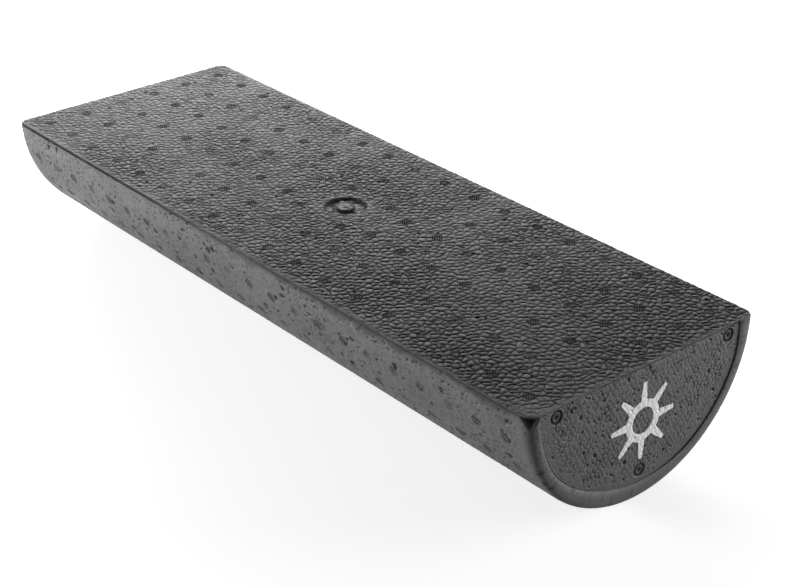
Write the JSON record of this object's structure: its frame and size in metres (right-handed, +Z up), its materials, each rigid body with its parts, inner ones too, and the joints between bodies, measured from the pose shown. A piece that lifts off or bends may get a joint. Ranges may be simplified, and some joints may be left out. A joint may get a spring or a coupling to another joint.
{
  "type": "half round foam roller",
  "caption": "Half round roller of moulded bead foam with a flat face, crowned rims round its end panels, moulding marks and a plain print on an end.",
  "frame": {"origin": "under the middle of the roller, at the height of the lowest line of its round side", "axes": "+X along the length towards the printed end, +Y across the flat face, +Z up, square to the flat face and away from the round side"},
  "size_m": [0.455, 0.153, 0.0765],
  "materials": {
    "bead_foam": "satin grey with fine moulded bead relief",
    "white_ink": "matt pad print"
  },
  "bodies": {
    "root": {"foam_body": "bead_foam", "end_print": "white_ink"}
  },
  "joints": []
}
